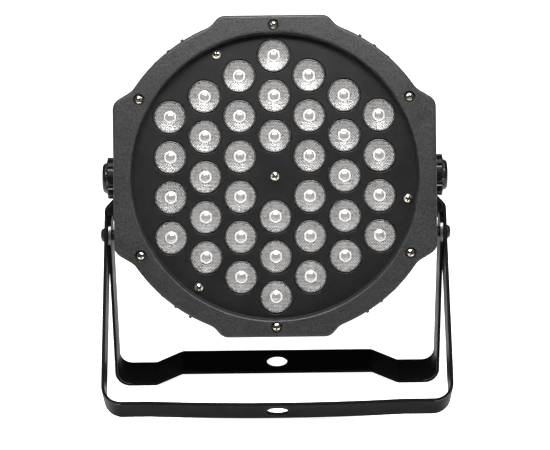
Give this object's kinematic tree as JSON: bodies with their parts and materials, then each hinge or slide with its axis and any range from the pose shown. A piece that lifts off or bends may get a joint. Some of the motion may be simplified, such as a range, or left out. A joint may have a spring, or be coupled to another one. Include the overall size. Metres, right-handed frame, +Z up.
{
  "type": "par can light",
  "caption": "Flat round LED par light with recessed clear lenses in a screwed bezel, side clamp knobs and a folding double floor bracket.",
  "frame": {"origin": "bottom centre of the box of the light standing on its two opened brackets", "axes": "+Z up, the lenses look towards -Y and 10.46 degrees upward, +X is the right-hand side seen from the front"},
  "size_m": [0.219, 0.1674, 0.2404],
  "materials": {
    "black_abs": "fine moulded texture",
    "matt_plate": "matt",
    "lens_plastic": "faceted clear",
    "holder_plastic": "matt",
    "board_white": "solder mask",
    "emitter": "clear dome",
    "aluminium": "machined",
    "board_green": "solder mask",
    "components": "mixed",
    "display_glass": "smoked",
    "display_body": "matt",
    "button_rubber": "satin",
    "socket_black": "satin",
    "contact_metal": "plated",
    "bracket_paint": "satin powder coat",
    "knob_plastic": "satin",
    "plated_steel": "nickel plated",
    "black_steel": "blackened",
    "brass_insert": "turned",
    "washer_rubber": "matt",
    "fan_plastic": "moulded"
  },
  "bodies": {
    "floor_bracket": {"main_bracket": "bracket_paint", "pivot_rivet_left": "black_steel", "pivot_rivet_right": "black_steel"},
    "rear_stand": {"rear_bracket": "bracket_paint"},
    "left_knob": {"knob_left": "knob_plastic", "knob_stud_left": "plated_steel", "knob_washer_left": "plated_steel"},
    "right_knob": {"knob_right": "knob_plastic", "knob_stud_right": "plated_steel", "knob_washer_right": "plated_steel"},
    "fan_wheel": {"fan_rotor": "fan_plastic"},
    "release_tab": {"dmx_release_tab": "socket_black"},
    "menu_key": {"button_menu": "button_rubber"},
    "up_key": {"button_up": "button_rubber"},
    "down_key": {"button_down": "button_rubber"},
    "enter_key": {"button_enter": "button_rubber"},
    "lamp_head": {"bezel_screws": "plated_steel", "control_board": "board_green", "display_module": "display_body", "display_window": "display_glass", "dmx_in_pins": "contact_metal", "dmx_in_socket": "socket_black", "dmx_out_socket": "socket_black", "eye_screws": "plated_steel", "fan_frame": "fan_plastic", "fan_guard": "black_steel", "fan_screws": "plated_steel", "friction_washer_left": "washer_rubber", "friction_washer_right": "washer_rubber", "front_bezel": "black_abs", "fuse_cap": "socket_black", "fuse_holder": "socket_black", "heat_sink": "aluminium", "heat_sink_screws": "plated_steel", "inlet_blades": "contact_metal", "inlet_screws": "plated_steel", "led_board": "board_white", "led_emitters": "emitter", "lens_column_1": "lens_plastic", "lens_column_2": "lens_plastic", "lens_column_3": "lens_plastic", "lens_column_4": "lens_plastic", "lens_column_5": "lens_plastic", "lens_column_6": "lens_plastic", "lens_column_7": "lens_plastic", "lens_holders": "holder_plastic", "lens_plate": "matt_plate", "plate_screws": "plated_steel", "plate_standoffs": "plated_steel", "power_inlet": "socket_black", "rear_housing": "black_abs", "safety_eye": "bracket_paint", "socket_screws": "plated_steel", "supply_board": "board_green", "supply_parts": "components", "supply_posts": "plated_steel", "supply_screws": "plated_steel", "tact_switches": "components", "threaded_insert_left": "brass_insert", "threaded_insert_right": "brass_insert"}
  },
  "joints": [
    {"name": "head_tilt", "type": "hinge", "parent": "floor_bracket", "child": "lamp_head", "pos_m": [0, 0.01494, 0.13616], "axis": [1, 0, 0], "range_deg": [-100, 100]},
    {"name": "rear_stand_swing", "type": "hinge", "parent": "floor_bracket", "child": "rear_stand", "pos_m": [0, -0.00708, 0.10397], "axis": [1, 0, 0], "range_deg": [-51.8, 16]},
    {"name": "knob_left_turn", "type": "hinge", "parent": "floor_bracket", "child": "left_knob", "pos_m": [0, 0.01494, 0.13616], "axis": [-1, 0, 0], "range_deg": [-15, 360]},
    {"name": "knob_right_turn", "type": "hinge", "parent": "floor_bracket", "child": "right_knob", "pos_m": [0, 0.01494, 0.13616], "axis": [1, 0, 0], "range_deg": [-15, 360]},
    {"name": "fan_spin", "type": "hinge", "parent": "lamp_head", "child": "fan_wheel", "pos_m": [0, 0.04247, 0.13108], "axis": [0, -0.9834, 0.1815], "continuous": true},
    {"name": "dmx_release_press", "type": "slide", "parent": "lamp_head", "child": "release_tab", "axis": [0, -0.9834, 0.1815], "range_m": [0, 0.0015], "stiffness_N_per_m": 800, "springref_m": -0.0006},
    {"name": "button_menu_press", "type": "slide", "parent": "lamp_head", "child": "menu_key", "axis": [0, -0.9834, 0.1815], "range_m": [0, 0.0006], "stiffness_N_per_m": 1500, "springref_m": -0.0004},
    {"name": "button_up_press", "type": "slide", "parent": "lamp_head", "child": "up_key", "axis": [0, -0.9834, 0.1815], "range_m": [0, 0.0006], "stiffness_N_per_m": 1500, "springref_m": -0.0004},
    {"name": "button_down_press", "type": "slide", "parent": "lamp_head", "child": "down_key", "axis": [0, -0.9834, 0.1815], "range_m": [0, 0.0006], "stiffness_N_per_m": 1500, "springref_m": -0.0004},
    {"name": "button_enter_press", "type": "slide", "parent": "lamp_head", "child": "enter_key", "axis": [0, -0.9834, 0.1815], "range_m": [0, 0.0006], "stiffness_N_per_m": 1500, "springref_m": -0.0004}
  ]
}
